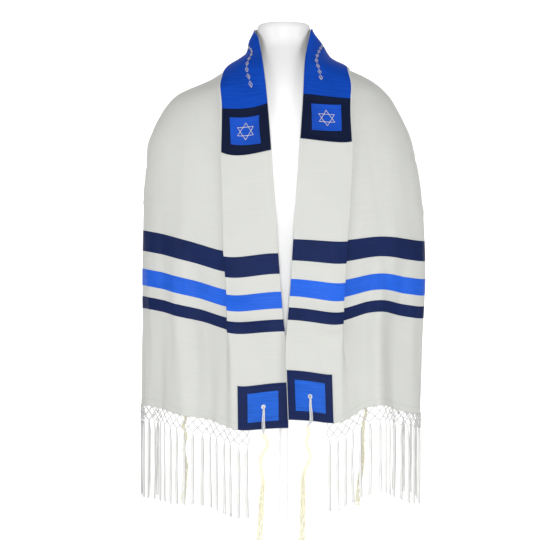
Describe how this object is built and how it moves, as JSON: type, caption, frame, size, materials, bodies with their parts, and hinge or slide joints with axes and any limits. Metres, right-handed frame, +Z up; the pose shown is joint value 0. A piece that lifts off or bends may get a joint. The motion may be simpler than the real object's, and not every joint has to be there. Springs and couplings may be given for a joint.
{
  "type": "tallit prayer shawl on dress form",
  "caption": "Ivory fringed prayer shawl with blue and navy stripes, collar band, star squares and corner tassels, draped on a limbless white dress form with a round-based stand.",
  "frame": {"origin": "centre of the round base's underside", "axes": "+Z up along the pole, front of the form towards -Y, +X to the viewer's right"},
  "size_m": [0.5941, 0.33, 1.5],
  "materials": {
    "ivory_silk": "ivory silk with a soft sheen",
    "navy_silk": "navy satin weave",
    "blue_silk": "bright blue satin weave",
    "fringe_yarn": "ivory twisted yarn, knotted in a net",
    "tassel_cord": "cream wool cord",
    "eyelet_thread": "pale embroidery thread",
    "form_white": "smooth white",
    "stand_white": "white enamel"
  },
  "bodies": {
    "root": {"centre_panel": "ivory_silk", "collar_band": "blue_silk", "end_left": "ivory_silk", "narrow_stripe_left": "navy_silk", "lower_gap_left": "ivory_silk", "blue_stripe_left": "blue_silk", "upper_gap_left": "ivory_silk", "wide_stripe_left": "navy_silk", "collar_square_left": "navy_silk", "collar_centre_left": "blue_silk", "fringe_left": "fringe_yarn", "corner_front_left_navy": "navy_silk", "corner_front_left_blue": "blue_silk", "corner_front_left_eyelet": "eyelet_thread", "tassel_front_left": "tassel_cord", "corner_rear_left_navy": "navy_silk", "corner_rear_left_blue": "blue_silk", "corner_rear_left_eyelet": "eyelet_thread", "tassel_rear_left": "tassel_cord", "end_right": "ivory_silk", "narrow_stripe_right": "navy_silk", "lower_gap_right": "ivory_silk", "blue_stripe_right": "blue_silk", "upper_gap_right": "ivory_silk", "wide_stripe_right": "navy_silk", "collar_square_right": "navy_silk", "collar_centre_right": "blue_silk", "fringe_right": "fringe_yarn", "corner_front_right_navy": "navy_silk", "corner_front_right_blue": "blue_silk", "corner_front_right_eyelet": "eyelet_thread", "tassel_front_right": "tassel_cord", "corner_rear_right_navy": "navy_silk", "corner_rear_right_blue": "blue_silk", "corner_rear_right_eyelet": "eyelet_thread", "tassel_rear_right": "tassel_cord", "form_torso": "form_white", "stand_pole": "stand_white", "stand_base": "stand_white"}
  },
  "joints": []
}
